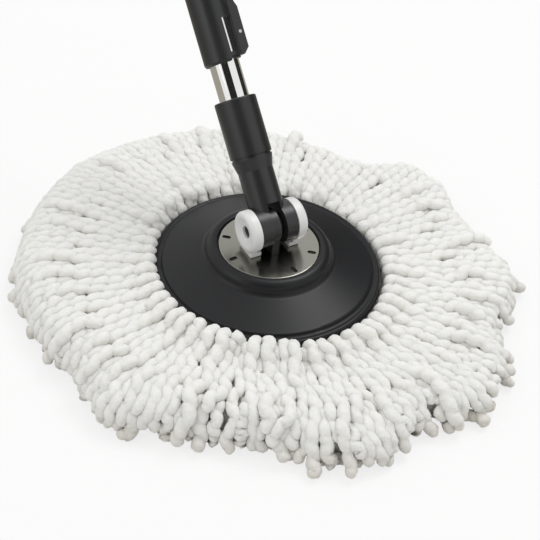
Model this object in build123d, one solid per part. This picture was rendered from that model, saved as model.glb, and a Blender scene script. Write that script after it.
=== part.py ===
from build123d import *
from math import cos, sin, pi, radians, hypot
import os

# Spin mop at rest: the yarn stands on the floor (z = 0), the pole leans toward +Y about the
# hinge pin, which lies along X. Millimetres, +Z up.

# Head heights and radii
RIM_R, RIM_Z, WALL_T = 84.4, 36.2, 2.4       # disc rim: radius, top edge, wall
WALL_Z = RIM_Z - 7.2                         # bottom of the rim's wall
BAND, BAND_STEP = 6.6, 1.7                   # grooved band inside the rim: width, step down from the cone
PLATE_R, PLATE_Z, PLATE_T = 37.4, 55.5, 0.8  # steel plate: radius, top face, thickness
PLATE_GAP = 0.2                              # plate to the hub's lip, and flange to its pocket
FLANGE_R, FLANGE_T = 26.0, 4.0               # tongue's flange under the plate
FLOOR_Z = PLATE_Z - PLATE_T - FLANGE_T       # flange pocket in the hub
HUB_T = 3.0
HUB_Z = FLOOR_Z - HUB_T                      # hub underside
SCREW_RING, SCREW_R = 19.0, 1.7
SLOT_L, SLOT_W, SLOT_A = 6.4, 3.2, 5.0       # plate slots: length, width, first angle
SLOT_R = PLATE_R - 5.7
BORE_R, BORE_Z, BORE_L = 6.5, 30.0, 15.0     # spindle socket
BOSS_R, SHELL = BORE_R + 5.5, 2.0            # boss round it, wall of the steel insert
RING_T = 5.1
RING_Z1 = RIM_Z - 2.6                        # refill ring, top and bottom
RING_Z0 = RING_Z1 - RING_T
YARN_IN, YARN_OUT, STRANDS = 52.0, 183.0, 48

# Hinge
PIN_R, RUN = 4.0, 0.06                       # pin and its running clearance
TONGUE_X0, TONGUE_X1, TONGUE_R, NECK = -4.2, 1.5, 12.8, 11.2
CHEEK_R, CHEEK_X, LUG_TOP = 14.6, 14.9, 9.0  # fork cheeks, and where the round body ends above the pin
SLOT_X0, SLOT_X1 = TONGUE_X0 - 0.3, TONGUE_X1 + 4.2
CAP_R, CAP_X0, CAP_T, CAP_ROUND = 15.5, CHEEK_X + 0.3, 7.8, 3.2
CAP_X1 = CAP_X0 + CAP_T
DISH_R, DISH, WELL_R, WELL = 11.6, 2.0, 4.8, 3.8   # cap face: dished part, its depth, well of the pin head
HEAD_T = 2.2                                 # pin head
FOOT_Y, FOOT_H, FOOT_IN, FOOT_X = 8.5, 4.0, CHEEK_X - 3.2, CAP_X1 - CAP_ROUND
HINGE_Z = PLATE_Z + CAP_R + 3.5              # hinge pin above the floor
TILT = 43.5                                  # pole from the upright, degrees

# Pole, measured along it from the hinge
LOW_R, TUBE_T, TUBE_GAP = 11.0, 0.8, 0.7     # lower tube, both walls, room between the tubes
LOW_IN, UP_IN = LOW_R - TUBE_T, LOW_R + TUBE_GAP
UP_R = UP_IN + TUBE_T
SLIP = 0.08                                  # sliding clearance of the bushes
FORK_R, CROTCH, SEAT, PLUG = 13.0, TONGUE_R + 2.2, 52.0, 32.0
GROOVE, TAPER1, TAPER0 = SEAT - 1.4, SEAT - 2.6, SEAT - 11.0
SOCKET_R, SOCKET_TOP = LOW_R + 4.5, SEAT + 42.0
GROOVE_IN = SOCKET_R - 1.1                   # bottom of the ring groove under the socket
RIVET_R, RIVET_Z = 2.0, SEAT + 16.0
LOW_TOP, UP_BOTTOM, UP_TOP = 570.0, 124.0, 802.0
COLLAR_R, COLLAR0, COLLAR_L = UP_R + 1.8, UP_BOTTOM - 3.5, 55.5
COLLAR1 = COLLAR0 + COLLAR_L
WINDOW_W, WINDOW0, WINDOW1, WINDOW_A = 11.2, COLLAR0 + 6.1, COLLAR0 + 31.5, 28.0   # window, turned from -Y
COLLAR_STEP = 3.0                            # lower edge is this much higher on the lever's side
LEVER_X, LEVER_Z, LEVER_L = UP_R + 4.0, COLLAR0 + 19.5, 42.5
LEVER_Y, EAR_Y, LEVER_PIN = 3.4, 6.6, 1.2      # lever and ear half widths, lever pin radius
PAD_R = 4.0
PITCH, TWIST0, TWIST1 = 120.0, UP_BOTTOM + 36.0, UP_TOP - 42.0  # drive strip: lead, twist from and to
STRIP_W, STRIP_T, STRIP_END, STRIP_TOP = 9.0, 2.2, 7.0, 28.0
TURN = 360.0 / PITCH
NUT0, NUT_L, NUT_R, TEETH, TOOTH_H = LOW_TOP - 21.0, 12.5, 9.9, 8, 1.8
NUT1 = NUT0 + NUT_L
STRIP_BORE = STRIP_W / 2 + 1.5
GRIP_R, GRIP_L, GROOVE_D, GROOVES, GROOVE_STEP = UP_R + 3.5, 162.0, 1.0, 3, 8.0
GRIP0 = UP_TOP - GRIP_L
PLUG_L, CAP_H, CAP_EDGE, TAB_Z = 12.0, 32.0, 6.0, 6.0   # end cap: plug, height, rounding, foot of the tab
HANG_Z, HANG_R, TAB = UP_TOP + CAP_H / 2, 5.0, 7.0

POLE = Location((0, 0, HINGE_Z), (-TILT, 0, 0))


def outline(start, *steps):
    """Closed face in the r-z half plane: a step is a point, or (mid point, end point) for an arc."""
    edges, here = [], start
    for s in list(steps) + [start]:
        if isinstance(s[0], tuple):
            mid, end = s
            edges.append(Edge.make_three_point_arc((here[0], 0, here[1]), (mid[0], 0, mid[1]),
                                                   (end[0], 0, end[1])))
        else:
            end = s
            edges.append(Edge.make_line((here[0], 0, here[1]), (end[0], 0, end[1])))
        here = end
    return Face(Wire(edges))


def turned(start, *steps):
    return revolve(outline(start, *steps), Axis.Z)


def tube(r_out, r_in, z0, z1):
    t = Pos(0, 0, z0) * Cylinder(r_out, z1 - z0, align=(Align.CENTER, Align.CENTER, Align.MIN))
    if r_in:
        t -= Pos(0, 0, z0 - 1) * Cylinder(r_in, z1 - z0 + 2, align=(Align.CENTER, Align.CENTER, Align.MIN))
    return t


def box(x0, x1, y0, y1, z0, z1):
    return Pos((x0 + x1) / 2, (y0 + y1) / 2, (z0 + z1) / 2) * Box(x1 - x0, y1 - y0, z1 - z0)


def rod_x(r, x0, x1, y=0, z=0):
    return Pos((x0 + x1) / 2, y, z) * Rot(0, 90, 0) * Cylinder(r, x1 - x0)


def rod_y(r, y0, y1, x=0, z=0):
    return Pos(x, (y0 + y1) / 2, z) * Rot(90, 0, 0) * Cylinder(r, y1 - y0)


def slab_y(points, half):
    """Flat piece from an x-z outline, thickness 2*half about y = 0."""
    face = Face(Wire.make_polygon([(x, 0, z) for x, z in points], close=True))
    return Pos(0, half, 0) * extrude(face, 2 * half, dir=(0, -1, 0))


# Head


def head_disc():
    lip, wall, band = PLATE_R + PLATE_GAP, RIM_R - WALL_T, RIM_R - BAND
    web, top, bore_top = wall - 6.0, PLATE_Z + 1.1, BORE_Z + BORE_L + 1
    edge = RIM_Z + 1.0 + BAND_STEP
    d = turned((0, FLOOR_Z), (FLANGE_R + PLATE_GAP, FLOOR_Z), (FLANGE_R + PLATE_GAP, PLATE_Z - PLATE_T),
               (lip, PLATE_Z - PLATE_T), (lip, top - 0.8), ((lip + 0.35, top - 0.25), (lip + 1.1, top)),
               (lip + 3.0, top), ((lip + 6.8, top - 1.7), (lip + 8.8, top - 5.4)),
               ((lip + 10.3, top - 7.8), (lip + 13.2, top - 9.2)), (band - 1.4, edge + 0.3),
               ((band - 0.3, edge - 0.3), (band, edge - 1.3)), (band + 0.2, RIM_Z + 0.9),
               ((band + 1.9, RIM_Z + 0.2), (RIM_R - 2.6, RIM_Z + 0.7)),
               ((RIM_R - 0.8, RIM_Z + 0.2), (RIM_R, RIM_Z - 1.4)), (RIM_R, WALL_Z), (wall, WALL_Z),
               (wall, RING_Z1), (web, RING_Z1), (web, RIM_Z + 0.2), (lip + 12.6, HUB_Z - 3.1),
               (lip + 7.6, HUB_Z), (BOSS_R, HUB_Z), (BOSS_R, BORE_Z), (BORE_R + SHELL, BORE_Z),
               (BORE_R + SHELL, bore_top), (0, bore_top))
    rib = slab_y([(BOSS_R - 0.5, HUB_Z - 6.7), (lip + 9.6, HUB_Z - 6.7), (web + 0.5, RING_Z1 + 1.0),
                  (web + 0.5, RIM_Z + 0.7), (lip + 12.6, HUB_Z - 2.5), (lip + 7.6, HUB_Z + 0.6),
                  (BOSS_R - 0.5, HUB_Z + 0.6)], 1.1)
    ribs = [Rot(0, 0, a) * rib for a in range(0, 360, 45)]
    holes = [Pos(*p, 0) * tube(SCREW_R, 0, HUB_Z - 4, FLOOR_Z + 1) for p in screw_spots()]
    return d.fuse(*ribs).cut(*holes)


def screw_spots():
    return [(SCREW_RING * cos(radians(a)), SCREW_RING * sin(radians(a))) for a in (22.5, 157.5, 202.5, 337.5)]


def base_screws():
    s = tube(SCREW_R, 0, HUB_Z, FLOOR_Z + 3.0) + tube(SCREW_R + 1.5, 0, HUB_Z - 2.0, HUB_Z)
    s -= box(-2.4, 2.4, -0.4, 0.4, HUB_Z - 2.5, HUB_Z - 1.0)
    return Compound([Pos(*p, 0) * s for p in screw_spots()])


def spindle_insert():
    r, top = BORE_R + SHELL, BORE_Z + BORE_L
    return turned((BORE_R, BORE_Z), (r, BORE_Z), (r, top + 1), (0, top + 1), (0, top), (BORE_R, top))


def steel_plate():
    p = turned((0, PLATE_Z), (PLATE_R - 0.8, PLATE_Z),
               ((PLATE_R - 0.25, PLATE_Z - 0.25), (PLATE_R, PLATE_Z - 0.8)), (0, PLATE_Z - PLATE_T))
    slot = Pos(SLOT_R, 0, PLATE_Z - 3) * extrude(SlotOverall(SLOT_L, SLOT_W), 6)
    slots = [Rot(0, 0, SLOT_A + 45 * k) * slot for k in range(8)]
    opening = box(TONGUE_X0 - 0.3, TONGUE_X1 + 0.3, -NECK - 0.3, NECK + 0.3, PLATE_Z - 3, PLATE_Z + 3)
    return p.cut(*slots, opening)


def tongue_base():
    flange = tube(FLANGE_R, 0, FLOOR_Z, PLATE_Z - PLATE_T)
    eye = rod_x(TONGUE_R, TONGUE_X0, TONGUE_X1, 0, HINGE_Z)
    neck = box(TONGUE_X0, TONGUE_X1, -NECK, NECK, PLATE_Z - PLATE_T - 1, HINGE_Z)
    b = flange + eye + neck - rod_x(PIN_R, -20, 20, 0, HINGE_Z)
    return b.cut(*[Pos(*p, 0) * tube(SCREW_R, 0, HUB_Z, FLOOR_Z + 3.0) for p in screw_spots()])


def hinge_pin():
    head = CAP_X1 - WELL
    heads = [rod_x(WELL_R, head - HEAD_T, head), rod_x(WELL_R, -head, HEAD_T - head)]
    return Pos(0, 0, HINGE_Z) * rod_x(PIN_R, -head, head).fuse(*heads)


def hinge_cap():
    """Cap on the +X side: a dished disc that holds the pin head and stands on the plate by its foot."""
    c = rod_x(CAP_R, CAP_X0, CAP_X1)
    c = fillet(c.edges().group_by(Axis.X)[-1], CAP_ROUND)
    sole = PLATE_Z - HINGE_Z
    foot = box(FOOT_IN, FOOT_X, -FOOT_Y, FOOT_Y, sole, sole + FOOT_H)
    foot = fillet(foot.edges().filter_by(Axis.X).group_by(Axis.Z)[0], 1.2)
    web = box(CAP_X0, FOOT_X, -FOOT_Y, FOOT_Y, sole + FOOT_H - 0.5, sole + FOOT_H + 5)
    dish = turned((0, CAP_X1 - DISH), (WELL_R, CAP_X1 - DISH), (DISH_R, CAP_X1), (DISH_R, CAP_X1 + 1),
                  (0, CAP_X1 + 1))
    c = c + foot + web - Rot(0, 90, 0) * dish
    c -= rod_x(WELL_R, CAP_X1 - WELL - HEAD_T, CAP_X1)
    return c - rod_x(PIN_R, 0, CAP_X1)


def hinge_cap_right():
    return Pos(0, 0, HINGE_Z) * hinge_cap()


def hinge_cap_left():
    return Pos(0, 0, HINGE_Z) * mirror(hinge_cap(), about=Plane.YZ)


def hinge_spacer():
    return Pos(0, 0, HINGE_Z) * (rod_x(7.0, TONGUE_X1, SLOT_X1 - 0.1) - rod_x(PIN_R, 0, 20))


def refill_ring():
    inner, outer = YARN_IN + 3.0, RIM_R - WALL_T - 0.3
    return turned((inner, RING_Z0), (outer, RING_Z0), (outer, RING_Z1), (outer - 4.7, RING_Z1),
                  (outer - 4.7, RING_Z0 + 3.0), (inner, RING_Z0 + 3.0))


def strand(path, half_h):
    """Six-sided strand along (r, z, half width) stations, each section square to the path."""
    n = len(path)
    rings = []
    for i, (r, z, w) in enumerate(path):
        a, b = path[max(i - 1, 0)], path[min(i + 1, n - 1)]
        k = hypot(b[0] - a[0], b[1] - a[1])
        nr, nz = -(b[1] - a[1]) / k, (b[0] - a[0]) / k
        rings.append([(r + nr * v * half_h, u * w, z + nz * v * half_h)
                      for u, v in ((1, 0), (0.5, 1), (-0.5, 1), (-1, 0), (-0.5, -1), (0.5, -1))])
    loops = [rings[0][::-1], rings[-1]]
    for a, b in zip(rings, rings[1:]):
        for i in range(6):
            j = (i + 1) % 6
            loops += [[a[i], a[j], b[j]], [a[i], b[j], b[i]]]
    return Solid(Shell([Face(Wire.make_polygon(p, close=True)) for p in loops]))


def yarn():
    rim, top = RIM_R + 0.6, RIM_Z - 4.2
    core = turned((YARN_IN, 0), (YARN_OUT - 29, 0), (YARN_OUT - 17, 6.0), (YARN_OUT - 17, 14.0),
                  (YARN_OUT - 43, top - 6), (rim + 19, top - 0.6), (rim + 9, top), (rim, top - 1.4),
                  (rim, RING_Z0), (YARN_IN, RING_Z0))
    strands = []
    for k in range(STRANDS):
        reach = YARN_OUT - 6 + 4.0 * sin(2.4 * k) + 3.0 * sin(5.3 * k + 1)
        lift = top + 1.2 * sin(3.7 * k) - 2.2 * (k % 2)
        path = [(rim + 6, top - 2, 5.0), (rim + 15, lift + 2.2, 5.2), (YARN_OUT - 41, lift - 3, 7.0),
                (reach - 11, lift - 13, 8.4), (reach, 9.5, 6.4)]
        strands.append(Rot(0, 0, k * 360 / STRANDS) * strand(path, 4.3))
    return core.fuse(*strands)


# Pole


def fork():
    body = turned((0, LUG_TOP), (FORK_R, LUG_TOP), (FORK_R, TAPER0), (SOCKET_R - 0.4, TAPER1),
                  (SOCKET_R - 0.4, GROOVE), (GROOVE_IN, GROOVE), (GROOVE_IN, SEAT), (LOW_IN, SEAT),
                  (LOW_IN, SEAT + PLUG - 1), (LOW_IN - 1, SEAT + PLUG), (0, SEAT + PLUG))
    cheeks = rod_x(CHEEK_R, -CHEEK_X, CHEEK_X)
    cheeks = fillet(cheeks.edges().filter_by(GeomType.CIRCLE), 0.8)
    f = body + cheeks
    f -= box(SLOT_X0, SLOT_X1, -30, 30, -30, CROTCH)
    f -= rod_x(PIN_R + RUN, -30, 30)
    f -= rod_y(RIVET_R, 2.0, 20, 0, RIVET_Z)
    return f


def pole_socket():
    s = turned((LOW_R, SEAT), (SOCKET_R, SEAT), (SOCKET_R, SOCKET_TOP - 1.2),
               ((SOCKET_R - 0.35, SOCKET_TOP - 0.35), (SOCKET_R - 1.2, SOCKET_TOP)), (LOW_R, SOCKET_TOP))
    head = SOCKET_R - 1.2
    return s - rod_y(RIVET_R, 5, 20, 0, RIVET_Z) - rod_y(RIVET_R + 1.5, head, 20, 0, RIVET_Z)


def socket_rivet():
    head = SOCKET_R - 1.2
    return rod_y(RIVET_R, 2.0, head, 0, RIVET_Z) + rod_y(RIVET_R + 1.5, head, SOCKET_R + 0.2, 0, RIVET_Z)


def lower_tube():
    return tube(LOW_R, LOW_IN, SEAT, LOW_TOP) - rod_y(RIVET_R, 5, 20, 0, RIVET_Z)


def upper_tube():
    return tube(UP_R, UP_IN, UP_BOTTOM, UP_TOP) - rod_x(PAD_R + 0.1, 5, 20, 0, LEVER_Z)


def guide_bush():
    lip, top = UP_BOTTOM - 2.0, UP_BOTTOM + 40.0
    b = turned((LOW_R + SLIP, lip), (UP_R + 0.5, lip), (UP_R + 0.5, UP_BOTTOM), (UP_IN, UP_BOTTOM),
               (UP_IN, top), (LOW_R + SLIP, top))
    return b - rod_x(PAD_R + 0.1, 5, 20, 0, LEVER_Z)


def lock_collar():
    lip = UP_BOTTOM - 2.0
    c = turned((LOW_R + 0.5, COLLAR0), (COLLAR_R - 1.0, COLLAR0), (COLLAR_R, COLLAR0 + 1.6),
               (COLLAR_R, COLLAR1 - 1.5), ((COLLAR_R - 0.3, COLLAR1 - 0.4), (COLLAR_R - 1.2, COLLAR1)),
               (UP_R, COLLAR1), (UP_R, UP_BOTTOM), (UP_R + 0.5, UP_BOTTOM), (UP_R + 0.5, lip),
               (LOW_R + 0.5, lip))
    ear0, ear1, back = COLLAR_R - 2.3, LEVER_X + 3.1, COLLAR_R + 0.1
    ears = slab_y([(ear0, LEVER_Z - 17.4), (back, LEVER_Z - 17.4), (ear1, LEVER_Z - 12), (ear1, LEVER_Z + 18),
                   (back + 1.2, LEVER_Z + 28), (ear0, LEVER_Z + 28)], EAR_Y)
    ears -= tube(COLLAR_R - 0.7, 0, COLLAR0 - 20, COLLAR1 + 20)
    c = c + ears
    c -= box(UP_R + 0.9, 40, -LEVER_Y - 0.3, LEVER_Y + 0.3, LEVER_Z - 7, LEVER_Z + 35)
    c -= Rot(0, 0, WINDOW_A) * box(-WINDOW_W / 2, WINDOW_W / 2, -COLLAR_R - 2, -UP_R / 2, WINDOW0, WINDOW1)
    c -= box(0.5, 40, -COLLAR_R - 1, COLLAR_R + 1, COLLAR0 - 1, COLLAR0 + COLLAR_STEP)
    c -= rod_x(PAD_R + 0.1, 5, LEVER_X - 0.5, 0, LEVER_Z)
    return c - rod_y(LEVER_PIN, -20, 20, LEVER_X, LEVER_Z)


def lever_pin():
    return rod_y(LEVER_PIN, -EAR_Y, EAR_Y, LEVER_X, LEVER_Z)


def brake_pad():
    pad = rod_x(PAD_R, LOW_R - 3, LEVER_X - 3.55, 0, LEVER_Z)
    return pad - tube(LOW_R + RUN, 0, COLLAR0, COLLAR1)


def lock_lever():
    x, z, tip = LEVER_X, LEVER_Z, LEVER_Z + LEVER_L
    arm = slab_y([(x - 1.9, z + 1.8), (x - 1.9, tip - 22), (x - 0.5, tip - 2.5), (x + 1.9, tip),
                  (x + 4.3, tip - 2.5), (x + 2.8, tip - 22), (x + 2.8, z), (x + 2, z - 2), (x, z - 2.8),
                  (x - 1.1, z - 2)], LEVER_Y)
    cam = rod_y(2.9, -LEVER_Y, LEVER_Y, x - 0.5, z)
    return arm + cam - rod_y(LEVER_PIN + 0.05, -10, 10, x, z)


def glide_bush():
    low, shoulder, top = NUT1 + 0.5, LOW_TOP + 0.3, LOW_TOP + 22.0
    return turned((STRIP_BORE + 0.5, low), (LOW_IN - SLIP, low), (LOW_IN - SLIP, shoulder),
                  (UP_IN - SLIP, shoulder), (UP_IN - SLIP, top), (STRIP_BORE + 0.5, top))


def twisted(w, t, z0, z1):
    """Flat strip twisted about the pole axis, in step with the drive strip's own twist."""
    section = Rectangle(w, t).face().outer_wire()
    bar = Solid.extrude_linear_with_rotation(section, (0, 0, 0), (0, 0, z1 - z0), TURN * (z1 - z0))
    return Pos(0, 0, z0) * (Rot(0, 0, TURN * (z0 - TWIST0)) * bar)


def straight(z0, z1, at):
    """Untwisted length of the strip, turned as the twisted part is at height at."""
    bar = box(-STRIP_W / 2, STRIP_W / 2, -STRIP_T / 2, STRIP_T / 2, z0, z1)
    return Rot(0, 0, TURN * (at - TWIST0)) * bar


def drive_strip():
    bar = twisted(STRIP_W, STRIP_T, TWIST0, TWIST1)
    foot, top = straight(TWIST0 - STRIP_END, TWIST0, TWIST0), straight(TWIST1, TWIST1 + STRIP_TOP, TWIST1)
    return bar.fuse(foot, top)


def teeth(z, up):
    tooth = Face(Wire.make_polygon([(0, -3.0, 0), (0, 3.0, 0), (0, 3.0, TOOTH_H)], close=True))
    one = Pos(6.3, 0, 0) * extrude(tooth, 3.2, dir=(1, 0, 0))
    if not up:
        one = Rot(180, 0, 0) * one
    return [Pos(0, 0, z) * (Rot(0, 0, k * 360 / TEETH) * one) for k in range(TEETH)]


def drive_nut():
    n = tube(NUT_R, 0, NUT0, NUT1).fuse(*teeth(NUT0, False))
    n -= tube(STRIP_BORE, 0, NUT0 - 4, NUT0)
    return n - twisted(STRIP_W + 0.7, STRIP_T + 0.7, NUT0 - 2, NUT1 + 2)


def ratchet_ring():
    top = NUT0 - 2 * TOOTH_H - 0.5
    r = tube(LOW_IN, 0, NUT0 - 15, top).fuse(*teeth(top, True))
    return r - tube(STRIP_BORE, 0, NUT0 - 20, NUT0 + 10)


def strip_stop():
    z = TWIST0 - STRIP_END
    return tube(STRIP_BORE, 0, z, TWIST0) - straight(z - 3, TWIST0 + 3, TWIST0)


def strip_anchor():
    z, top = TWIST1 + 6.0, TWIST1 + STRIP_TOP
    return tube(UP_IN, 0, z, top) - straight(z - 6, top + 6, TWIST1)


def grip():
    lead = 6.0
    g = turned((UP_R, GRIP0), (GRIP_R - 2.0, GRIP0), (GRIP_R, GRIP0 + lead), (GRIP_R, UP_TOP),
               (UP_R, UP_TOP))
    half = 1.6 * GROOVE_D
    groove = turned((GRIP_R - GROOVE_D, 0), (GRIP_R, -half / 2), (GRIP_R + 1, -half), (GRIP_R + 1, half),
                    (GRIP_R, half / 2))
    return g.cut(*[Pos(0, 0, GRIP0 + 2 * lead + k * GROOVE_STEP) * groove for k in range(GROOVES)])


def end_cap():
    r, z, top = GRIP_R - 0.3, UP_TOP, UP_TOP + CAP_H
    c = turned((0, z - PLUG_L), (UP_IN - 0.4, z - PLUG_L), (UP_IN, z - PLUG_L + 1), (UP_IN, z), (r, z),
               (r, top - CAP_EDGE), ((r - CAP_EDGE * 0.29, top - CAP_EDGE * 0.29), (r - CAP_EDGE, top)),
               (0, top))
    side = box(TAB, GRIP_R + 1, -GRIP_R - 1, GRIP_R + 1, z + TAB_Z, top + 1)
    return c - side - mirror(side, about=Plane.YZ) - rod_x(HANG_R, -GRIP_R, GRIP_R, 0, HANG_Z)


HEAD = dict(yarn=yarn, refill_ring=refill_ring, head_disc=head_disc, steel_plate=steel_plate,
            tongue_base=tongue_base, base_screws=base_screws, spindle_insert=spindle_insert,
            hinge_pin=hinge_pin, hinge_cap_left=hinge_cap_left, hinge_cap_right=hinge_cap_right,
            hinge_spacer=hinge_spacer)
STICK = dict(fork=fork, pole_socket=pole_socket, socket_rivet=socket_rivet, lower_tube=lower_tube,
             upper_tube=upper_tube, guide_bush=guide_bush, lock_collar=lock_collar, lever_pin=lever_pin,
             brake_pad=brake_pad, lock_lever=lock_lever, glide_bush=glide_bush, drive_strip=drive_strip,
             drive_nut=drive_nut, ratchet_ring=ratchet_ring, strip_stop=strip_stop, strip_anchor=strip_anchor,
             grip=grip, end_cap=end_cap)

os.makedirs("parts", exist_ok=True)
for name, make in {**HEAD, **STICK}.items():
    shape = make()
    if name in STICK:
        shape = POLE * shape
    export_step(shape, f"parts/{name}.step")
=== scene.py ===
import bpy, math
import numpy as np
from mathutils import Matrix, Vector


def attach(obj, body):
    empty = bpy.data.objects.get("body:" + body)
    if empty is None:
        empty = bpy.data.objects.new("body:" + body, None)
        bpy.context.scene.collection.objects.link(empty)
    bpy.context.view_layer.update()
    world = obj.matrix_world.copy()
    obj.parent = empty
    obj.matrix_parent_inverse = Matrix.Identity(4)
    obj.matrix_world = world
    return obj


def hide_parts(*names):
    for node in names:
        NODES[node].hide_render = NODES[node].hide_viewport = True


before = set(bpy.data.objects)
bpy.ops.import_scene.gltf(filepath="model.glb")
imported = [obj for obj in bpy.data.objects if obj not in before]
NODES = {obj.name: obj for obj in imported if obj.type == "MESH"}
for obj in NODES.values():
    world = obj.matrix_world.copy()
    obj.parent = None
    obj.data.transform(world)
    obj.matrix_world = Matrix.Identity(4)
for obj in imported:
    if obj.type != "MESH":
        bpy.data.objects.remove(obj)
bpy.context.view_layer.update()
bpy.context.scene.view_settings.view_transform = "Standard"


# Helpers for node trees, materials and objects

def fill(tree, node, inputs):
    """Links inputs of a node to other sockets, or gives them plain values."""
    for key, value in inputs.items():
        if isinstance(value, bpy.types.NodeSocket):
            tree.links.new(value, node.inputs[key])
        else:
            node.inputs[key].default_value = value


def add(tree, kind, inputs=None, **props):
    node = tree.nodes.new(kind)
    for key, value in props.items():
        setattr(node, key, value)
    fill(tree, node, inputs or {})
    return node


def calc(tree, op, a, b=0.0):
    return add(tree, "ShaderNodeMath", {0: a, 1: b}, operation=op).outputs[0]


def blend_colour(tree, fac, a, b):
    return add(tree, "ShaderNodeMix", {0: fac, 6: a, 7: b}, data_type="RGBA").outputs[2]


def rgba(r, g, b):
    return (r, g, b, 1.0)


def new_material(name):
    mat = bpy.data.materials.new(name)
    mat.use_nodes = True
    return mat, mat.node_tree, mat.node_tree.nodes["Principled BSDF"]


def link_object(name, data):
    obj = bpy.data.objects.new(name, data)
    bpy.context.collection.objects.link(obj)
    return obj


# Shared surface effect: moulding grain, faint mottling and rubbed patches

PATCH_SCALE = 24.0            # of the mottling and the rubbed patches
GRAIN_DEPTH = 0.0004          # metres


def surface_group():
    group = bpy.data.node_groups.new("moulded_surface", "ShaderNodeTree")
    for way, names in (("INPUT", ("Colour", "Grain Size", "Mottle", "Roughness", "Rub")),
                       ("OUTPUT", ("Colour", "Roughness", "Height"))):
        for name in names:
            kind = "NodeSocketColor" if name == "Colour" else "NodeSocketFloat"
            group.interface.new_socket(name, in_out=way, socket_type=kind)
    given = group.nodes.new("NodeGroupInput").outputs
    where = add(group, "ShaderNodeTexCoord").outputs["Object"]
    grain = add(group, "ShaderNodeTexNoise",
                {"Vector": where, "Scale": given["Grain Size"], "Detail": 3.0}).outputs[0]
    patch = add(group, "ShaderNodeTexNoise",
                {"Vector": where, "Scale": PATCH_SCALE, "Detail": 4.0}).outputs[0]
    grain_shift = calc(group, "SUBTRACT", grain, 0.5)
    patch_shift = calc(group, "SUBTRACT", patch, 0.5)
    level = calc(group, "ADD", calc(group, "MULTIPLY", patch_shift, given["Mottle"]), 1.0)
    tint = add(group, "ShaderNodeCombineXYZ", {0: level, 1: level, 2: level}).outputs[0]
    colour = add(group, "ShaderNodeVectorMath", {0: given["Colour"], 1: tint},
                 operation="MULTIPLY").outputs[0]
    rub = calc(group, "ADD", calc(group, "MULTIPLY", patch_shift, given["Rub"]),
               calc(group, "MULTIPLY", grain_shift, given["Rub"]))
    rough = calc(group, "ADD", given["Roughness"], rub)
    add(group, "NodeGroupOutput", {"Colour": colour, "Roughness": rough, "Height": grain})
    return group


SURFACE = surface_group()


def finish_material(name, colour, rough, grain=900.0, mottle=0.15, rub=0.08, bump=0.05, metal=0.0,
                    gloss=0.5):
    """Moulded or metal finish of a hard piece, with the shared surface effect."""
    mat, tree, shader = new_material(name)
    skin = add(tree, "ShaderNodeGroup", {"Colour": rgba(*colour), "Grain Size": grain, "Mottle": mottle,
                                         "Roughness": rough, "Rub": rub}, node_tree=SURFACE)
    relief = add(tree, "ShaderNodeBump",
                 {"Height": skin.outputs["Height"], "Strength": bump, "Distance": GRAIN_DEPTH})
    fill(tree, shader, {"Base Color": skin.outputs["Colour"], "Roughness": skin.outputs["Roughness"],
                        "Normal": relief.outputs[0], "Metallic": metal, "Specular IOR Level": gloss})
    return mat


FIBRE_SCALE, TUFT_SCALE = 900.0, 330.0   # of the fine fibres and the tufts in the yarn's relief
FIBRE_RISE, YARN_RELIEF = 0.5, 0.0017    # a fibre's height in tufts, and the relief's depth in metres
GREY_STRAND, STRAND_SHARE = (0.74, 0.745, 0.70), 0.18   # tone that some strands lean to, and how far
GREY_TUFT, TUFT_SHARE = (0.72, 0.72, 0.68), 0.10        # the same for the tufts
FOOT_SHADE, FOOT_SHARE = (0.54, 0.50, 0.42), 0.60        # painted shade next to the floor: its warm dull tone, and how far the yarn leans to it
FOOT_TOP, FOOT_LOW = 0.020, 0.001        # heights where that starts and where it is full


def yarn_material(name, crease_shade, crest):
    """Matt fibre, with painted shade in the creases between plies and along the cords' sides, and painted
    shade, warmer and duller, near the floor.
    """
    mat, tree, shader = new_material(name)
    where = add(tree, "ShaderNodeTexCoord").outputs["Object"]
    shade = add(tree, "ShaderNodeAttribute", attribute_name="shade").outputs["Fac"]
    tint = add(tree, "ShaderNodeAttribute", attribute_name="tint").outputs["Fac"]
    fibre = add(tree, "ShaderNodeTexNoise",
                {"Vector": where, "Scale": FIBRE_SCALE, "Detail": 4.0, "Roughness": 0.65}).outputs[0]
    tuft = add(tree, "ShaderNodeTexNoise",
               {"Vector": where, "Scale": TUFT_SCALE, "Detail": 4.0}).outputs[0]
    height = add(tree, "ShaderNodeSeparateXYZ", {0: where}).outputs[2]
    # Painted shade next to the floor: the yarn turns warmer and duller toward the bottom.
    floor_shade = add(tree, "ShaderNodeMapRange", {"Value": height, "From Min": FOOT_TOP, "From Max": FOOT_LOW,
                                            "To Min": 0.0, "To Max": FOOT_SHARE}).outputs[0]
    # Painted shade: the crease colour in the bead valleys and along the cords' sides, the crest colour on
    # the bead tops.
    body = blend_colour(tree, shade, rgba(*crease_shade), rgba(*crest))
    body = blend_colour(tree, calc(tree, "MULTIPLY", tint, STRAND_SHARE), body, rgba(*GREY_STRAND))
    body = blend_colour(tree, calc(tree, "MULTIPLY", tuft, TUFT_SHARE), body, rgba(*GREY_TUFT))
    body = blend_colour(tree, floor_shade, body, rgba(*FOOT_SHADE))
    rise = calc(tree, "ADD", calc(tree, "MULTIPLY", fibre, FIBRE_RISE), tuft)
    relief = add(tree, "ShaderNodeBump", {"Height": rise, "Strength": 0.7, "Distance": YARN_RELIEF})
    fill(tree, shader, {"Base Color": body, "Normal": relief.outputs[0], "Roughness": 0.95,
                        "Subsurface Weight": 0.40, "Subsurface Radius": (1.0, 0.97, 0.90),
                        "Subsurface Scale": 0.004, "Sheen Weight": 0.2, "Sheen Roughness": 0.6,
                        "Specular IOR Level": 0.12})
    return mat


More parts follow.
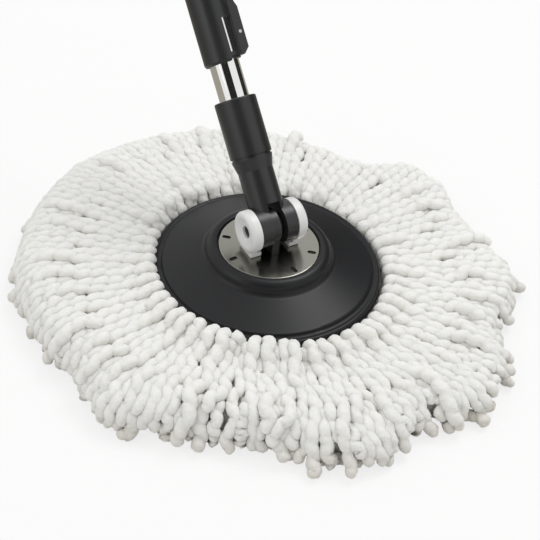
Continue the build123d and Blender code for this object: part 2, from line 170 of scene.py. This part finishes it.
black_satin = finish_material("black_moulded_disc", (0.0165, 0.0169, 0.0181), 0.33,
                              grain=700, bump=0.03, gloss=0.17)
black_matt = finish_material("black_moulded_fittings", (0.0175, 0.0179, 0.0192), 0.36,
                             grain=900, bump=0.04, gloss=0.48)
white_cap = finish_material("white_moulded_caps", (0.74, 0.74, 0.73), 0.38,
                            grain=800, mottle=0.05, bump=0.03)
white_ring = finish_material("white_moulded_ring", (0.76, 0.76, 0.74), 0.5, mottle=0.05)
plate_steel = finish_material("polished_plate", (0.28, 0.275, 0.245), 0.21,
                              grain=260, mottle=0.10, rub=0.06, bump=0.02, metal=1.0)
tube_chrome = finish_material("chromed_tube", (0.80, 0.80, 0.79), 0.05,
                              grain=300, mottle=0.03, rub=0.03, bump=0.004, metal=1.0)
plain_steel = finish_material("plain_steel", (0.50, 0.50, 0.49), 0.32,
                              grain=1500, rub=0.2, bump=0.05, metal=1.0)
grip_rubber = finish_material("soft_black_grip", (0.020, 0.020, 0.021), 0.62, grain=1600, bump=0.25)
natural_plastic = finish_material("natural_nylon", (0.70, 0.69, 0.64), 0.5, mottle=0.05)
dark_pin = finish_material("dark_pin_steel", (0.06, 0.06, 0.06), 0.4, metal=1.0)
yarn_white = yarn_material("twisted_microfibre", (0.83, 0.82, 0.775), (0.905, 0.90, 0.87))
# Darker copy of the yarn for the lowest strands: painted shade.
yarn_shaded = yarn_material("shaded_microfibre", (0.64, 0.62, 0.56), (0.76, 0.74, 0.69))
# Darker yarn of the inner ring: painted shade seen through the gaps between strands.
yarn_gap_shade = yarn_material("gap_shade_microfibre", (0.68, 0.66, 0.61), (0.68, 0.66, 0.61))

FINISH = dict(
    head_disc=black_satin, tongue_base=black_matt, fork=black_matt, pole_socket=black_matt,
    lock_collar=black_matt, lock_lever=black_matt, hinge_spacer=black_matt, guide_bush=black_matt,
    ratchet_ring=black_matt, strip_anchor=black_matt, end_cap=black_matt,
    hinge_cap_left=white_cap, hinge_cap_right=white_cap, refill_ring=white_ring,
    steel_plate=plate_steel, lower_tube=tube_chrome, upper_tube=tube_chrome,
    base_screws=plain_steel, spindle_insert=plain_steel, socket_rivet=plain_steel, lever_pin=plain_steel,
    drive_strip=plain_steel, strip_stop=plain_steel, hinge_pin=dark_pin,
    grip=grip_rubber, brake_pad=grip_rubber, glide_bush=natural_plastic, drive_nut=natural_plastic)
for node, mat in FINISH.items():
    mesh = NODES[node].data
    mesh.materials.clear()
    mesh.materials.append(mat)


# Camera at the photograph's angle, taking the image to be 540 by 540

AZIMUTH, ELEVATION, ROLL = -34.0, 41.0, 6.35           # degrees
DISTANCE, SENSOR = 1.2, 36.0                           # metres from the aim, sensor width in mm
IMAGE_PX, FOCAL_PX = 540.0, 1625.0                     # image width and focal length in pixels
AIM, AIM_PX = Vector((0, 0, 0.036)), (266.85, 264.6)   # point aimed at, and its place in the image


def make_camera():
    a, e, r = (math.radians(v) for v in (AZIMUTH, ELEVATION, ROLL))
    back = Vector((math.sin(a) * math.cos(e), -math.cos(a) * math.cos(e), math.sin(e)))
    right = Vector((math.cos(a), math.sin(a), 0))
    up = back.cross(right)
    side = right * math.cos(r) + up * math.sin(r)
    top = up * math.cos(r) - right * math.sin(r)
    data = bpy.data.cameras.new("photo_view")
    data.sensor_width = SENSOR
    data.lens = SENSOR * FOCAL_PX / IMAGE_PX
    data.shift_x = (IMAGE_PX / 2 - AIM_PX[0]) / IMAGE_PX
    data.shift_y = (AIM_PX[1] - IMAGE_PX / 2) / IMAGE_PX
    cam = link_object("photo_view", data)
    turn = Matrix((side, top, back)).transposed()
    cam.matrix_world = Matrix.Translation(AIM + back * DISTANCE) @ turn.to_4x4()
    bpy.context.scene.camera = cam


make_camera()


# Floor that is clear from below and mostly clear to the camera, light, and dark cards for reflections only

FLOOR_SIDE = 12.0             # metres
FLOOR_CLEAR = 0.78            # share of the floor that the camera looks through
FLOOR_PALE, FLOOR_GLOW = (0.82, 0.82, 0.81), (0.40, 0.375, 0.32)   # its colour, and that in reflections
WHITE = (1, 1, 1)
WORLD_LIGHT = 0.66            # strength of the world's light
CARD_BLACK = (0.01, 0.01, 0.01)
POLE_AXIS, TUBE_SPOT = Vector((0, 0.688, 0.725)), Vector((0, 0.08, 0.16))   # for the cards
CARDS = (                     # name, direction from the tube, then distance, width and height in metres
    ("front_card", (-0.42, -0.63, 0.66), 1.5, 1.45, 1.6),
    ("side_card", (0.92, 0.25, 0.10), 1.2, 2.0, 1.5),
)
LAMPS = (                     # name, place and size in metres, watts
    ("key_softbox", (1.1, 0.35, 2.1), 1.0, 21.2),
    ("fill_softbox", (-1.7, 0.1, 1.5), 1.4, 8.0),
    ("back_softbox", (-0.3, 1.9, 1.6), 1.2, 1.0),
)
LAMP_AIM = Vector((0, 0.05, 0.05))


def flat_panel(name, width, height, mat):
    w, h = width / 2, height / 2
    mesh = bpy.data.meshes.new(name)
    mesh.from_pydata([(-w, -h, 0), (w, -h, 0), (w, h, 0), (-w, h, 0)], [], [(0, 1, 2, 3)])
    mesh.materials.append(mat)
    return link_object(name, mesh)


def make_floor():
    mat, tree, shader = new_material("studio_floor")
    tree.nodes.remove(shader)
    path = add(tree, "ShaderNodeLightPath").outputs
    plain = add(tree, "ShaderNodeBsdfDiffuse", {"Color": rgba(*FLOOR_PALE)}).outputs[0]
    clear = add(tree, "ShaderNodeBsdfTransparent").outputs[0]
    warm = add(tree, "ShaderNodeEmission", {"Color": rgba(*FLOOR_GLOW), "Strength": 1.0}).outputs[0]
    under = add(tree, "ShaderNodeNewGeometry").outputs["Backfacing"]
    share = calc(tree, "MAXIMUM", calc(tree, "MULTIPLY", path["Is Camera Ray"], FLOOR_CLEAR), under)
    lit = add(tree, "ShaderNodeMixShader", {0: share, 1: plain, 2: clear}).outputs[0]
    lit = add(tree, "ShaderNodeMixShader", {0: path["Is Glossy Ray"], 1: lit, 2: warm}).outputs[0]
    fill(tree, tree.nodes["Material Output"], {"Surface": lit})
    floor = flat_panel("floor", FLOOR_SIDE, FLOOR_SIDE, mat)


def make_world():
    """White to the camera and in reflections, and a plainer light for everything else."""
    world = bpy.data.worlds.new("studio")
    bpy.context.scene.world = world
    world.use_nodes = True
    tree = world.node_tree
    base = tree.nodes["Background"]
    fill(tree, base, {"Color": rgba(*WHITE), "Strength": WORLD_LIGHT})
    clear = add(tree, "ShaderNodeBackground", {"Color": rgba(*WHITE), "Strength": 1.0}).outputs[0]
    path = add(tree, "ShaderNodeLightPath").outputs
    seen = calc(tree, "MAXIMUM", path["Is Camera Ray"], path["Is Glossy Ray"])
    mix = add(tree, "ShaderNodeMixShader", {0: seen, 1: base.outputs[0], 2: clear}).outputs[0]
    fill(tree, tree.nodes["World Output"], {"Surface": mix})


def make_cards():
    mat, tree, shader = new_material("dark_card")
    fill(tree, shader, {"Base Color": rgba(*CARD_BLACK)})
    for name, toward, away, width, height in CARDS:
        card = flat_panel(name, width, height, mat)
        face = Vector(toward).normalized()
        long_way = (POLE_AXIS - face * POLE_AXIS.dot(face)).normalized()
        turn = Matrix((long_way.cross(face), long_way, face)).transposed()
        card.matrix_world = Matrix.Translation(TUBE_SPOT + face * away) @ turn.to_4x4()
        card.visible_camera = card.visible_diffuse = card.visible_shadow = False


def make_lamps():
    for name, place, size, watts in LAMPS:
        lamp = bpy.data.lights.new(name, "AREA")
        lamp.energy, lamp.size = watts, size
        obj = link_object(name, lamp)
        obj.location = place
        obj.rotation_mode = "QUATERNION"
        obj.rotation_quaternion = (LAMP_AIM - Vector(place)).to_track_quat("-Z", "Y")


make_floor()
make_world()
make_cards()
make_lamps()


# Yarn: strands tied under the disc, which fall until they rest on the inner yarn, on each other
# and on the floor

MM = 1000                     # millimetres in a metre
STRAND_R, STRAND_FLOOR = 0.0037, 0.0055   # radius for strand against strand, and lowest centre line
RIM_OUT = 0.0860              # nearest a loose strand comes to the disc's axis
POINTS, TIED = 19, 3          # points along a strand, and how many of them are tied
EDGE, START_R, START_Z, BED_TOP = 1, 2, 3, 4   # columns of the skirt's table
# By direction in degrees, all in mm: outer edge, start radius and height, inner yarn's height
SKIRT = (
    (-172, 174, 85.5, 37.5, 26.0), (-157, 187, 85.0, 38.5, 26.0), (-140, 166, 85.0, 39.5, 26.0),
    (-118, 162, 86.0, 39.5, 25.0), (-98, 190, 89.0, 36.0, 23.0), (-88, 186, 89.5, 35.0, 22.5),
    (-79, 176, 90.0, 34.5, 22.0), (-63, 203, 91.0, 33.0, 21.0), (-52, 197, 91.0, 32.5, 21.5),
    (-40, 182, 91.5, 32.5, 22.0), (-23, 202, 92.0, 32.0, 23.0), (-8, 189, 92.0, 31.5, 24.0),
    (3, 188, 92.5, 31.0, 25.0), (12, 201, 92.5, 31.0, 26.0), (21, 202, 92.0, 30.5, 27.0),
    (31, 166, 92.0, 30.5, 28.5), (60, 184, 92.0, 31.0, 31.0), (90, 188, 91.0, 32.0, 34.0),
    (115, 194, 90.0, 34.5, 37.0), (150, 191, 86.5, 38.5, 33.0),
)
# Strands, tie points from the start (r, z) in mm, first slope in degrees, spare length in mm
LAYERS = (
    (54, ((-3.0, -17.0), (-1.5, -8.0), (0.0, 0.0)), 36, (-12, 16)),
    (54, ((0.0, -19.0), (2.0, -11.0), (4.0, -4.0)), 30, (-14, 13)),
    (54, ((42.0, -16.0), (50.0, -14.0), (58.0, -11.0)), 16, (-12, 10)),
    (64, ((14.0, -19.0), (22.0, -18.5), (30.0, -18.0)), 0, (-26, -2)),
    (84, ((-28.0, -35.0), (8.0, -35.0), (44.0, -35.0)), 0, (-30, -6)),
)
UPPER = 3                     # layers that the inner yarn carries; the others lie lower
LAYER_TURN = 0.6              # turn from one layer to the next, in strand spacings
UNEVEN = (-0.25, 0.25)        # how far a strand strays from its place, in strand spacings
LEAN_POINTS = 3               # points over which the first slope levels out
LOW_DROP = 24                 # drop in mm that the spare lengths are given for
RUFFLED = -85                 # direction in degrees where the strands lie loosest
LOOSE_LEAST, LOOSE_MORE = 0.35, 0.65   # looseness on the far side, and what is added toward that direction
LOOSE_POWER = 0.7             # below 1 spreads it wider
CLUMPS, CLUMP_DRAW = 17, 0.030   # clumps round the skirt, and how far their tips lean together in radians
STRAY, SWAY, SWAY_TURN = 0.030, 0.024, 5.5   # a strand's own lean, its sway and the sway's turn, in radians
CRIMP, CRIMP_POINTS = 0.0030, 6.0   # widest wave in metres, and its length in points along the strand
CRIMP_SIZE, CRIMP_RATE = (0.3, 1.0), (0.8, 1.25)   # spread of the wave's width and of its turns
CRIMP_GROW = 4                # points from the tie until the wave is full
ANY_PHASE = (0, 6)            # start of a wave in radians
BED_ROUND, BED_BACK = 0.013, 0.013   # inner yarn: edge radius, distance inside the skirt's edge
BED_CREST, BED_RUN = 0.125, 0.05     # radius where it is highest, and the longest slope to either side
BED_RISE, BED_FALL = 0.06, 0.07      # slope up to that radius and down from it
STIFF, PULL = 0.012, 0.00016   # share of a bend taken out in one pass, fall in one step in metres
KEPT_DRIFT, PUSH = 0.88, 0.3   # share of the motion kept for the next step, share of an overlap yielded
PASSES, SEARCH_EVERY = 4, 5    # passes in a step, steps from one search for near strands to the next
SEARCH_MARGIN = 0.006          # metres beyond touching
TINY, SPECK = 1e-6, 1e-9       # least lengths to divide by
SETTLE_STEPS, QUICK_STEPS = 150, 20
LAY_SEED, CRIMP_SEED = 11, 12


def skirt(degrees, column):
    table = np.array(SKIRT, float)
    at, values = table[:, 0], table[:, column]
    return np.interp((degrees + 180) % 360 - 180, np.r_[at[-1] - 360, at, at[0] + 360],
                     np.r_[values[-1], values, values[0]])


def looseness(angle):
    """How ruffled the strands lie: most toward -Y, where the skirt spreads on the floor."""
    return LOOSE_LEAST + LOOSE_MORE * max(0.0, math.cos(angle - math.radians(RUFFLED))) ** LOOSE_POWER


def lay_strands(rng):
    """Start lines of all strands, their segment lengths and the layer of each."""
    lines, steps, layer = [], [], []
    for level, (count, tie, slope, spare) in enumerate(LAYERS):
        for k in range(count):
            angle = 2 * math.pi * (k + LAYER_TURN * level) / count
            loose = looseness(angle)
            angle += 2 * math.pi / count * loose * rng.uniform(*UNEVEN)
            extra = np.mean(spare) + loose * (rng.uniform(*spare) - np.mean(spare))
            reach, start_r, start_z, drop = (float(skirt(math.degrees(angle), column))
                                             for column in (EDGE, START_R, START_Z, BED_TOP))
            path = [(start_r + r, max(start_z + z, STRAND_FLOOR * MM)) for r, z in tie]
            fall = drop - LOW_DROP if level < UPPER else 0
            step = (reach - path[-1][0] + extra + fall) / (POINTS - TIED)
            for j in range(POINTS - TIED):
                lean = math.radians(slope) * max(0.0, 1 - j / LEAN_POINTS)
                path.append((path[-1][0] + step * math.cos(lean), path[-1][1] + step * math.sin(lean)))
            r, z = np.array(path).T / MM
            t = np.linspace(0, 1, POINTS)
            sway = np.sin(SWAY_TURN * t + rng.uniform(*ANY_PHASE)) * t * rng.normal(0, SWAY)
            draw = CLUMP_DRAW * math.sin(CLUMPS * angle) + rng.normal(0, STRAY)
            turn = angle + loose * (t ** 2 * draw + sway)
            lines.append(np.c_[r * np.cos(turn), r * np.sin(turn), z])
            steps.append(step / MM)
            layer.append(level)
    lines = np.array(lines)
    spans = np.linalg.norm(np.diff(lines, axis=1), axis=2)
    spans[:, TIED:] = np.array(steps)[:, None]
    return lines, spans, np.array(layer)


def rest_on_inner_yarn(x, loose):
    """Lifts loose points out of the rounded ring of inner yarn that carries the upper strands."""
    r = np.hypot(x[..., 0], x[..., 1])
    way = np.degrees(np.arctan2(x[..., 1], x[..., 0]))
    edge = skirt(way, EDGE) / MM - BED_BACK
    top = (skirt(way, BED_TOP) / MM - np.clip(BED_CREST - r, 0, BED_RUN) * BED_RISE
           - np.clip(r - BED_CREST, 0, BED_RUN) * BED_FALL)
    out_r, out_z = r - (edge - BED_ROUND), x[..., 2] - (top - BED_ROUND)
    pos_r, pos_z = np.maximum(out_r, 0), np.maximum(out_z, 0)
    corner = np.hypot(pos_r, pos_z)
    depth = STRAND_R + BED_ROUND - corner - np.minimum(np.maximum(out_r, out_z), 0)
    depth = np.maximum(depth, 0) * loose
    flat = corner < SPECK
    way_r = np.where(flat, out_r > out_z, pos_r / np.maximum(corner, SPECK))
    way_z = np.where(flat, out_r <= out_z, pos_z / np.maximum(corner, SPECK))
    x[..., 2] += depth * way_z
    x[..., :2] *= (1 + depth * way_r / np.maximum(r, TINY))[..., None]


def near_pairs(flat, owner, reach, sectors=24):
    """Pairs of points of different strands closer than reach, searched in sectors round the axis."""
    part = ((np.arctan2(flat[:, 1], flat[:, 0]) / math.pi + 1) * sectors / 2).astype(int) % sectors
    squares = (flat ** 2).sum(1)
    first, second = [], []
    for k in range(sectors):
        here = np.nonzero(part == k)[0]
        there = np.r_[here, np.nonzero(part == (k + 1) % sectors)[0]]
        apart = squares[here][:, None] + squares[there] - 2 * flat[here] @ flat[there].T
        i, j = np.nonzero(apart < reach ** 2)
        keep = (j > i) & (owner[here[i]] != owner[there[j]])
        first.append(here[i[keep]])
        second.append(there[j[keep]])
    return np.concatenate(first), np.concatenate(second)


def settle(x, spans, layer, steps):
    """Lets the strands fall, keeping their lengths, and returns where they come to rest."""
    count, n, _ = x.shape
    free = np.ones((count, n, 1))
    free[:, :TIED] = 0
    carried = np.where(layer < UPPER, 1.0, 0.0)[:, None] * free[..., 0]
    owner = np.repeat(np.arange(count), n)
    touch = 2 * STRAND_R
    old = x.copy()
    for step in range(steps):
        drift = (x - old) * KEPT_DRIFT
        old = x.copy()
        x = x + (drift + np.array((0, 0, -PULL))) * free
        if step % SEARCH_EVERY == 0:
            a, b = near_pairs(x.reshape(-1, 3), owner, touch + SEARCH_MARGIN)
        for _ in range(PASSES):
            d = np.diff(x, axis=1)
            length = np.linalg.norm(d, axis=2, keepdims=True)
            fix = d * (1 - spans[:, :, None] / np.maximum(length, TINY)) * 0.5
            x[:, :-1] += fix * free[:, :-1]
            x[:, 1:] -= fix * free[:, 1:]
            x[:, 1:-1] += (x[:, 2:] - 2 * x[:, 1:-1] + x[:, :-2]) * STIFF * free[:, 1:-1]
            flat = x.reshape(-1, 3)
            v = flat[a] - flat[b]
            gap = np.linalg.norm(v, axis=1)
            hit = gap < touch
            push = v[hit] / np.maximum(gap[hit], TINY)[:, None] * (touch - gap[hit])[:, None] * PUSH
            shift = np.zeros_like(flat)
            for c in range(3):
                shift[:, c] = (np.bincount(a[hit], push[:, c], len(flat))
                               - np.bincount(b[hit], push[:, c], len(flat)))
            x += shift.reshape(x.shape) * free
            rest_on_inner_yarn(x, carried)
            loose = free[..., 0] > 0
            x[..., 2] = np.where(loose, np.maximum(x[..., 2], STRAND_FLOOR), x[..., 2])
            r = np.hypot(x[..., 0], x[..., 1])
            x[..., :2] *= np.where((r < RIM_OUT) & loose, RIM_OUT / np.maximum(r, TINY), 1.0)[..., None]
    return x


def crimp(x, rng):
    """Waves kept in the fibre after the strands have settled, wider where they lie loosest."""
    out = x.copy()
    for line in out:
        side = np.array((-line[-1, 1], line[-1, 0], 0)) / np.hypot(*line[-1, :2])
        size = CRIMP * looseness(math.atan2(line[-1, 1], line[-1, 0])) * rng.uniform(*CRIMP_SIZE)
        turn = (2 * math.pi * np.arange(POINTS) / CRIMP_POINTS * rng.uniform(*CRIMP_RATE)
                + rng.uniform(*ANY_PHASE))
        grow = np.clip((np.arange(POINTS) - TIED) / CRIMP_GROW, 0, 1)
        line += (size * grow * np.sin(turn))[:, None] * side
    return out


# Cords spun along the strands' lines

SECTION_POINTS = 12           # points round a cord
TIP_PARTS, TIP_LEAST = 20.0, 0.05   # a cord rounds off over its last twentieth, all but this share of it
LOBE_POWER, CROWN_POWER = 1.4, 0.30   # fullness of the sides and of the beads
FLANK_POWER, FLANK_SHADE = 5.0, 0.6   # how narrow and how deep the shade along the sides is
PRESSED = 0.0003              # height of the yarn's flattened underside
DRAWS = (                     # what differs from strand to strand: attribute, least, most
    ("phase", 0, 0.4), ("tint", 0, 1), ("girth", 0.90, 1.10), ("lay", 0.94, 1.07),
)


def named(tree, name):
    return add(tree, "GeometryNodeInputNamedAttribute", {"Name": name}, data_type="FLOAT").outputs[0]


def store(tree, geometry, name, value):
    return add(tree, "GeometryNodeStoreNamedAttribute",
               {"Geometry": geometry, "Name": name, "Value": value},
               data_type="FLOAT", domain="POINT").outputs[0]


def strand_tree():
    """Soft twisted cords along the input's edges, pinched into beads where the yarn's plies cross."""
    tree = bpy.data.node_groups.new("twisted_strands", "GeometryNodeTree")
    face = tree.interface
    face.new_socket("Geometry", in_out="INPUT", socket_type="NodeSocketGeometry")
    for name, value in (("Strand Radius", 0.0052), ("Section Step", 0.00115), ("Waist", 0.88),
                        ("Bead Length", 0.0116), ("Bead Depth", 0.0024), ("Bead Slant", 0.24),
                        ("Lumps", 0.0010), ("Lump Scale", 220.0)):
        face.new_socket(name, in_out="INPUT", socket_type="NodeSocketFloat").default_value = value
    face.new_socket("Material", in_out="INPUT", socket_type="NodeSocketMaterial")
    face.new_socket("Geometry", in_out="OUTPUT", socket_type="NodeSocketGeometry")
    given = tree.nodes.new("NodeGroupInput").outputs

    curve = add(tree, "GeometryNodeMeshToCurve", {"Mesh": given["Geometry"]}).outputs[0]
    curve = add(tree, "GeometryNodeCurveSplineType", {"Curve": curve},
                spline_type="CATMULL_ROM").outputs[0]
    curve = add(tree, "GeometryNodeResampleCurve", {"Curve": curve, "Length": given["Section Step"]},
                mode="LENGTH").outputs[0]
    along = add(tree, "GeometryNodeSplineParameter").outputs
    reach = calc(tree, "DIVIDE", along["Length"], named(tree, "lay"))
    beads = calc(tree, "ADD", calc(tree, "DIVIDE", reach, given["Bead Length"]), named(tree, "phase"))
    curve = store(tree, curve, "beads", beads)
    curve = add(tree, "GeometryNodeSetCurveNormal", {"Curve": curve}, mode="Z_UP").outputs[0]
    to_tip = calc(tree, "MULTIPLY", calc(tree, "SUBTRACT", 1.0, along["Factor"]), TIP_PARTS)
    short = calc(tree, "SUBTRACT", 1.0, calc(tree, "MINIMUM", calc(tree, "ADD", to_tip, TIP_LEAST), 1.0))
    tip = calc(tree, "SQRT", calc(tree, "SUBTRACT", 1.0, calc(tree, "MULTIPLY", short, short)))
    curve = store(tree, curve, "tip", tip)
    girth = calc(tree, "MULTIPLY", tip, named(tree, "girth"))
    curve = add(tree, "GeometryNodeSetCurveRadius", {"Curve": curve, "Radius": girth}).outputs[0]

    ring = add(tree, "GeometryNodeCurvePrimitiveCircle",
               {"Resolution": SECTION_POINTS, "Radius": 1.0}).outputs[0]
    spot = add(tree, "GeometryNodeInputPosition").outputs[0]
    x, y, z = add(tree, "ShaderNodeSeparateXYZ", {0: spot}).outputs
    ring = store(tree, ring, "side", x)
    side = named(tree, "side")
    lobe = calc(tree, "POWER", calc(tree, "ABSOLUTE", side), LOBE_POWER)
    swell = calc(tree, "ADD", given["Waist"],
                 calc(tree, "MULTIPLY", lobe, calc(tree, "SUBTRACT", 1.0, given["Waist"])))
    size = calc(tree, "MULTIPLY", swell, given["Strand Radius"])
    place = add(tree, "ShaderNodeVectorMath", {0: spot, 3: size}, operation="SCALE").outputs[0]
    ring = add(tree, "GeometryNodeSetPosition", {"Geometry": ring, "Position": place}).outputs[0]
    width = add(tree, "GeometryNodeInputRadius").outputs[0]
    body = add(tree, "GeometryNodeCurveToMesh",
               {"Curve": curve, "Profile Curve": ring, "Scale": width, "Fill Caps": True}).outputs[0]

    slanted = calc(tree, "ADD", named(tree, "beads"), calc(tree, "MULTIPLY", side, given["Bead Slant"]))
    wave = calc(tree, "ABSOLUTE", calc(tree, "SINE", calc(tree, "MULTIPLY", slanted, math.pi)))
    crown = calc(tree, "POWER", wave, CROWN_POWER)
    body = store(tree, body, "crown", crown)
    flank = calc(tree, "POWER", calc(tree, "ABSOLUTE", side), FLANK_POWER)
    flank = calc(tree, "MULTIPLY", flank, FLANK_SHADE)
    # Painted shade for the yarn's colour: low in the bead valleys and along the cord's sides.
    body = store(tree, body, "shade", calc(tree, "MAXIMUM", calc(tree, "SUBTRACT", crown, flank), 0.0))
    noise = add(tree, "ShaderNodeTexNoise",
                {"Vector": spot, "Scale": given["Lump Scale"], "Detail": 2.0}).outputs[0]
    lump = calc(tree, "MULTIPLY", calc(tree, "SUBTRACT", noise, 0.5),
                calc(tree, "MULTIPLY", given["Lumps"], 2.0))
    deep = calc(tree, "MULTIPLY", given["Bead Depth"], named(tree, "tip"))
    pinch = calc(tree, "MULTIPLY", calc(tree, "SUBTRACT", named(tree, "crown"), 1.0), deep)
    normal = add(tree, "GeometryNodeInputNormal").outputs[0]
    offset = add(tree, "ShaderNodeVectorMath", {0: normal, 3: calc(tree, "ADD", pinch, lump)},
                 operation="SCALE").outputs[0]
    body = add(tree, "GeometryNodeSetPosition", {"Geometry": body, "Offset": offset}).outputs[0]
    lowest = calc(tree, "MAXIMUM", z, PRESSED)
    pressed = add(tree, "ShaderNodeCombineXYZ", {0: x, 1: y, 2: lowest}).outputs[0]
    body = add(tree, "GeometryNodeSetPosition", {"Geometry": body, "Position": pressed}).outputs[0]
    body = add(tree, "GeometryNodeSetShadeSmooth", {0: body, 2: True}).outputs[0]
    body = add(tree, "GeometryNodeRealizeInstances", {0: body}).outputs[0]
    body = add(tree, "GeometryNodeSetMaterial",
               {"Geometry": body, "Material": given["Material"]}).outputs[0]
    add(tree, "NodeGroupOutput", {0: body})
    return tree


STRANDS = strand_tree()


def spin_strands(name, paths, seed, fibre, **sizes):
    """One yarn piece from strand centre lines: (strand, point, xyz)."""
    rng = np.random.default_rng(seed)
    count, n, _ = paths.shape
    verts = paths.reshape(-1, 3)
    edges = [(s * n + i, s * n + i + 1) for s in range(count) for i in range(n - 1)]
    mesh = bpy.data.meshes.new(name + "_lines")
    mesh.from_pydata([tuple(v) for v in verts], edges, [])
    for key, least, most in DRAWS:
        values = np.repeat(rng.uniform(least, most, count), n).astype(np.float32)
        mesh.attributes.new(key, "FLOAT", "POINT").data.foreach_set("value", values)
    obj = link_object(name + "_lines", mesh)
    mod = obj.modifiers.new("strands", "NODES")
    mod.node_group = STRANDS
    ids = {s.name: s.identifier for s in STRANDS.interface.items_tree if s.in_out == "INPUT"}
    mod[ids["Material"]] = fibre
    for key, value in sizes.items():
        mod[ids[key.replace("_", " ")]] = value
    done = bpy.data.meshes.new_from_object(obj.evaluated_get(bpy.context.evaluated_depsgraph_get()))
    done.name = name
    bpy.data.objects.remove(obj)
    piece = link_object(name, done)
    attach(piece, "head")
    return piece


INNER_TURNS = 144             # sections of the inner yarn's ring
INNER_DOWN = 0.0005           # its crest below the height in the skirt's table
INNER_PROFILE = (             # r, z in metres: r below 0 is from its outer edge, z up to 0 from its crest
    (0.082, 0.010), (0.092, 0.012), (0.108, 0.0), (-0.012, 0.0), (-0.007, -0.006), (-0.006, 0.010),
    (0.125, 0.009), (0.060, 0.008), (0.052, 0.012),
)


def inner_yarn():
    """Ring of packed yarn behind the loose strands, which closes the gaps between them; its darker colour
    is painted shade.
    """
    verts, faces = [], []
    for k in range(INNER_TURNS):
        a = 2 * math.pi * k / INNER_TURNS
        edge = skirt(math.degrees(a), EDGE) / MM - BED_BACK
        crest = skirt(math.degrees(a), BED_TOP) / MM - INNER_DOWN
        for r, z in INNER_PROFILE:
            r, z = edge + r if r < 0 else r, crest + z if z <= 0 else z
            verts.append((r * math.cos(a), r * math.sin(a), z))
    n = len(INNER_PROFILE)
    for k in range(INNER_TURNS):
        m = (k + 1) % INNER_TURNS
        faces += [(k * n + i, m * n + i, m * n + (i + 1) % n, k * n + (i + 1) % n) for i in range(n)]
    mesh = bpy.data.meshes.new("yarn_inner")
    mesh.from_pydata(verts, [], faces)
    mesh.materials.append(yarn_gap_shade)
    for poly in mesh.polygons:
        poly.use_smooth = True
    piece = link_object("yarn_inner", mesh)
    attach(piece, "head")


lines, spans, layer = lay_strands(np.random.default_rng(LAY_SEED))
lines = settle(lines, spans, layer, SETTLE_STEPS)
lines = crimp(lines, np.random.default_rng(CRIMP_SEED))
top_yarn = spin_strands("yarn_top", lines[layer == 0], seed=3, fibre=yarn_white)
spin_strands("yarn_second", lines[layer == 1], seed=4, fibre=yarn_white)
spin_strands("yarn_third", lines[layer == 2], seed=6, fibre=yarn_white)
spin_strands("yarn_edge", lines[layer >= UPPER], seed=5, fibre=yarn_shaded, Section_Step=0.0019)
inner_yarn()
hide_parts("yarn")
